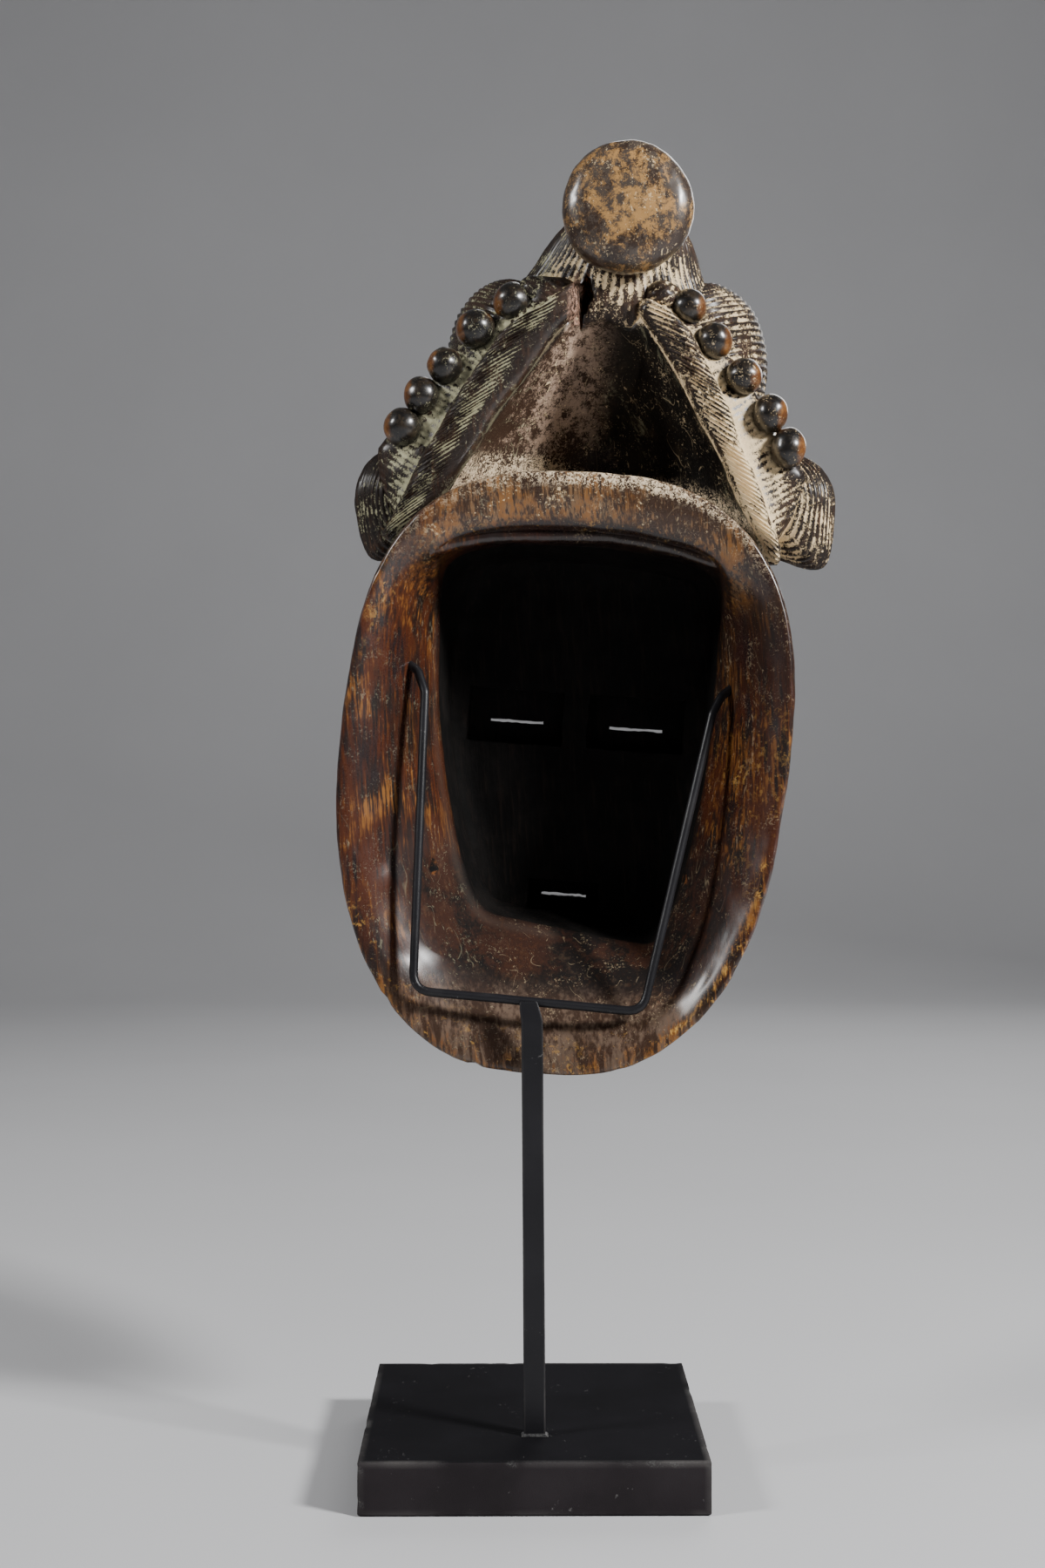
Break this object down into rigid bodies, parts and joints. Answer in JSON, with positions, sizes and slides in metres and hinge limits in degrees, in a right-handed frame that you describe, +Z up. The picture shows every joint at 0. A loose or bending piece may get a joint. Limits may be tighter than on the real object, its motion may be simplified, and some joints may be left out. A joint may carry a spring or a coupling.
{
  "type": "carved wooden mask on a stand",
  "caption": "Hollow carved wooden face mask with a lobed, combed headdress and a domed back knob, held from behind by a bent wire on a flat bar and a square black plinth.",
  "frame": {"origin": "centre of the plinth's underside", "axes": "+Z up; +Y towards the carved face, so the open hollow back looks to -Y; +X to the right of a viewer who faces the hollow back"},
  "size_m": [0.2282, 0.1581, 0.5973],
  "materials": {
    "mask_wood": "old hand-rubbed dark wood, orange-brown where worn, pale kaolin in the grooves",
    "plinth_black": "matt black painted board",
    "steel_black": "satin black painted steel"
  },
  "bodies": {
    "root": {"mask": "mask_wood", "stand_plinth": "plinth_black", "stand_upright": "steel_black", "stand_cradle": "steel_black"}
  },
  "joints": []
}
